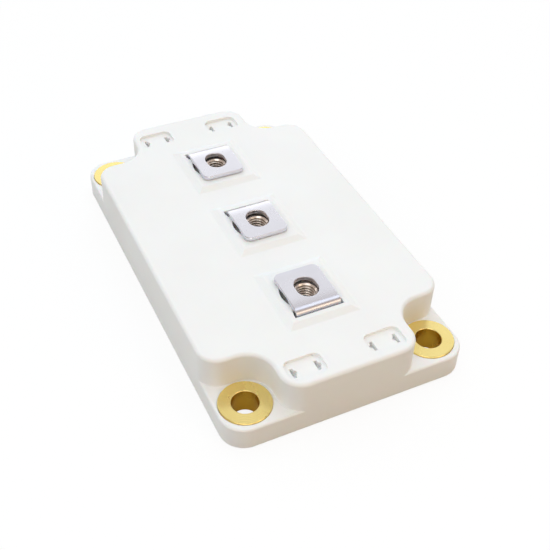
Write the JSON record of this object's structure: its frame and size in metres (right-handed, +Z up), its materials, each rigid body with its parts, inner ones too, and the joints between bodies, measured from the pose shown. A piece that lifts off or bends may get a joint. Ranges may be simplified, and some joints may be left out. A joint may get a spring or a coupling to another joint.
{
  "type": "power diode module",
  "caption": "Low white moulded power diode module with brass-bushed corner ears, a row of plated screw terminals over captive nuts and an inset cooling plate underneath.",
  "frame": {"origin": "on the cooling face, midway between the four mounting holes", "axes": "+X along the row of terminals, +Y across it, +Z up from the cooling face"},
  "size_m": [0.108, 0.062, 0.017],
  "materials": {
    "moulded_white": "satin moulded polyester, glass filled",
    "plated_plate": "nickel-plated copper, rolled",
    "sealant": "cured silicone",
    "bond_wire": "drawn wire",
    "gel": "clear soft silicone gel",
    "plated_terminal": "bright nickel on copper strip",
    "nut_steel": "plated steel",
    "turned_brass": "turned",
    "tile_ceramic": "fired, unglazed",
    "bonded_copper": "etched copper",
    "die_silicon": "metallised silicon"
  },
  "bodies": {
    "root": {"housing": "moulded_white", "baseplate": "plated_plate", "plate_bead": "sealant", "bridge_wires": "bond_wire", "silicone_gel": "gel", "anode_terminal_1": "plated_terminal", "cathode_terminal": "plated_terminal", "anode_terminal_2": "plated_terminal", "terminal_nut_1": "nut_steel", "terminal_nut_2": "nut_steel", "terminal_nut_3": "nut_steel", "bushing_rear_left": "turned_brass", "bushing_rear_right": "turned_brass", "bushing_front_left": "turned_brass", "bushing_front_right": "turned_brass", "ceramic_tile_1": "tile_ceramic", "ceramic_tile_2": "tile_ceramic", "back_copper_1": "bonded_copper", "back_copper_2": "bonded_copper", "cathode_track_1": "bonded_copper", "cathode_track_2": "bonded_copper", "anode_track_1": "bonded_copper", "anode_track_2": "bonded_copper", "bond_wires_1": "bond_wire", "bond_wires_2": "bond_wire", "diode_die_1": "die_silicon", "diode_die_2": "die_silicon", "diode_die_3": "die_silicon", "diode_die_4": "die_silicon", "diode_die_5": "die_silicon", "diode_die_6": "die_silicon", "diode_die_7": "die_silicon", "diode_die_8": "die_silicon"}
  },
  "joints": []
}
